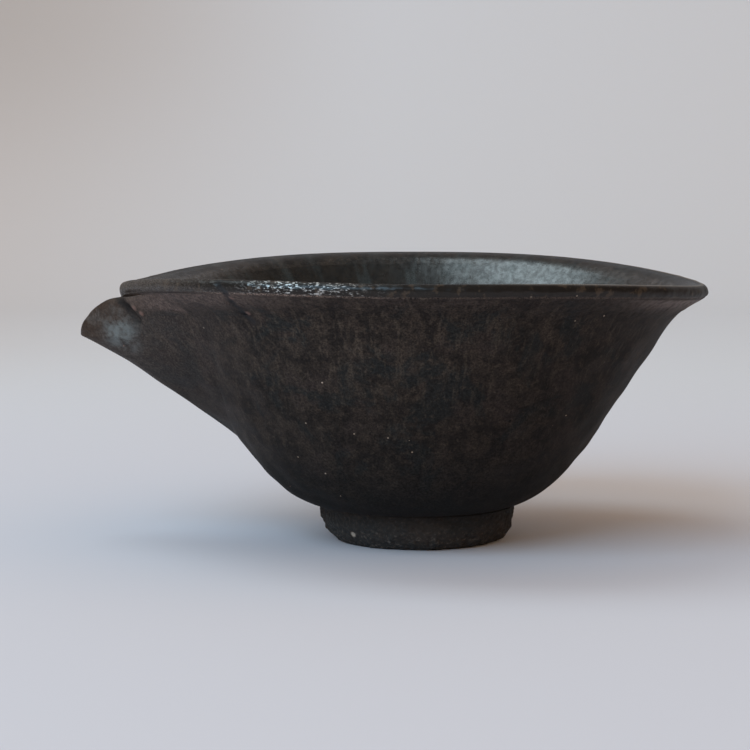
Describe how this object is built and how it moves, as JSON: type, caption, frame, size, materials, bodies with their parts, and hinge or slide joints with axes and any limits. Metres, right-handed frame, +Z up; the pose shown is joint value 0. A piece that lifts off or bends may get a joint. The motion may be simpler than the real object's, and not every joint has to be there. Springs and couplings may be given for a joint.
{
  "type": "katakuchi sake pourer",
  "caption": "Oval stoneware pouring bowl with a flared lip that runs on over a small beak spout, on a turned foot ring, dark iron-black glaze.",
  "frame": {"origin": "middle of the foot ring's underside, on the surface that the pourer stands on", "axes": "+Z up, -X towards the spout, -Y towards the side that faces the viewer with the spout on the left"},
  "size_m": [0.1715, 0.143, 0.0754],
  "materials": {
    "glaze": "iron-black glaze, half matt, brushed, with brown and blue-grey bloom",
    "lip_glaze": "iron-black glaze thinned over the edge, metallic speckle, brown where it is thin",
    "foot_clay": "dark fired clay, dry and grainy",
    "slip": "dry fired slip in the joints"
  },
  "bodies": {
    "root": {"bowl": "glaze", "lip": "lip_glaze", "spout": "glaze", "foot_ring": "foot_clay", "lip_slip_seam": "slip", "spout_slip_seam": "slip", "foot_slip_seam": "slip"}
  },
  "joints": []
}
